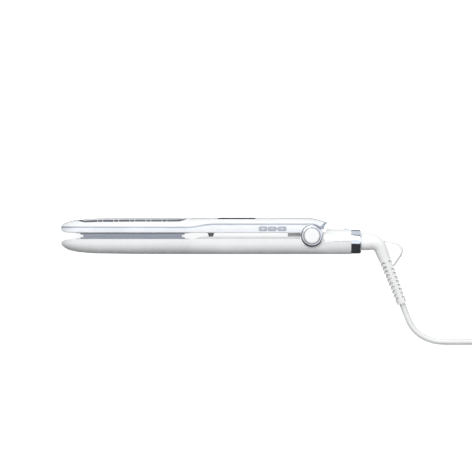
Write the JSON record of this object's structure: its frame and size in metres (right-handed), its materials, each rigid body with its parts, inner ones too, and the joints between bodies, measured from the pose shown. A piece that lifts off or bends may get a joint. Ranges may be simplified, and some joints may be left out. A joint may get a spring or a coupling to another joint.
{
  "type": "hair crimper",
  "caption": "Slim crimping iron with hinged arms, interlocking ridged plates, side controls, display and swivelling mains lead.",
  "frame": {"origin": "where the hinge axis meets the face of the pivot cap that the iron rests on when it lies on its side", "axes": "+X runs along the closed arms from the tips to the strain relief, +Y from the lower arm to the upper arm, +Z along the hinge axis, away from the resting face"},
  "size_m": [0.5045, 0.1476, 0.034],
  "materials": {
    "housing": "glossy white moulded plastic",
    "band": "satin bluish-grey plastic",
    "trim": "satin blue-grey plastic",
    "holder": "matt heat-proof plastic",
    "plate": "dark ceramic-coated aluminium",
    "heater": "plain pressed aluminium",
    "sensor": "glazed bead",
    "steel": "plain steel",
    "dark_plastic": "matt black plastic",
    "chrome": "polished chrome plating",
    "bearing_plastic": "natural low-friction plastic",
    "brass": "plain brass",
    "bronze": "oiled bronze",
    "grille": "matt dark grey plastic",
    "window": "smoked glossy plastic",
    "board": "circuit board laminate",
    "fuse": "unglazed ceramic",
    "peg_rubber": "mid-grey rubber",
    "button": "satin blue-grey plastic",
    "boot_rubber": "white flexible plastic",
    "cord_sheath": "white flexible lead sheath",
    "plug_plastic": "white moulded plastic",
    "pin_metal": "nickel-plated brass"
  },
  "bodies": {
    "lower_arm": {"lower_shell": "housing", "lower_inner_cover": "band", "lower_plate_holder": "holder", "lower_plate": "plate", "lower_heater": "heater", "temperature_sensor": "sensor", "hinge_frame": "steel", "hinge_pin": "steel", "hinge_spring": "steel", "spring_cover": "dark_plastic", "pivot_rings": "chrome", "pivot_caps": "housing", "rear_top_cover": "housing", "swivel_bearing": "bearing_plastic", "contact_brushes": "brass", "chrome_collar": "chrome", "cover_screws": "steel"},
    "upper_arm": {"upper_cover": "housing", "upper_trim": "trim", "upper_base": "band", "vent_grille": "grille", "vent_guard": "housing", "display_window": "window", "display_module": "dark_plastic", "control_board": "board", "board_parts": "dark_plastic", "switch_bank": "board", "upper_plate_holder": "holder", "upper_plate": "plate", "upper_heater": "heater", "thermal_fuse": "fuse", "knuckle_frame": "steel", "hinge_bushes": "bronze", "stop_peg": "peg_rubber", "base_screws": "steel"},
    "power_button": {"power_button": "button"},
    "temperature_rocker": {"temperature_rocker": "button"},
    "lock_slider": {"lock_slider": "housing"},
    "cord_swivel": {"swivel_drum": "bearing_plastic", "slip_rings": "brass", "cord_boot": "boot_rubber", "hang_loop": "boot_rubber", "power_cord": "cord_sheath", "cord_coil": "cord_sheath", "plug_body": "plug_plastic", "plug_pins": "pin_metal"}
  },
  "joints": [
    {"name": "arm_hinge", "type": "hinge", "parent": "lower_arm", "child": "upper_arm", "pos_m": [0, 0, 0.017], "axis": [0, 0, -1], "range_deg": [0, 12]},
    {"name": "power_press", "type": "slide", "parent": "upper_arm", "child": "power_button", "axis": [0, 0, -1], "range_m": [0, 0.0006], "stiffness_N_per_m": 500, "springref_m": -0.0004},
    {"name": "temperature_rock", "type": "hinge", "parent": "upper_arm", "child": "temperature_rocker", "pos_m": [-0.03295, 0.00675, 0.0298], "axis": [0, 1, 0], "range_deg": [-3, 3], "stiffness_Nm_per_rad": 0.05},
    {"name": "lock_slide", "type": "slide", "parent": "lower_arm", "child": "lock_slider", "axis": [-1, 0, 0], "range_m": [0, 0.008]},
    {"name": "lead_swivel", "type": "hinge", "parent": "lower_arm", "child": "cord_swivel", "pos_m": [0, -0.00535, 0.017], "axis": [1, 0, 0], "continuous": true}
  ]
}
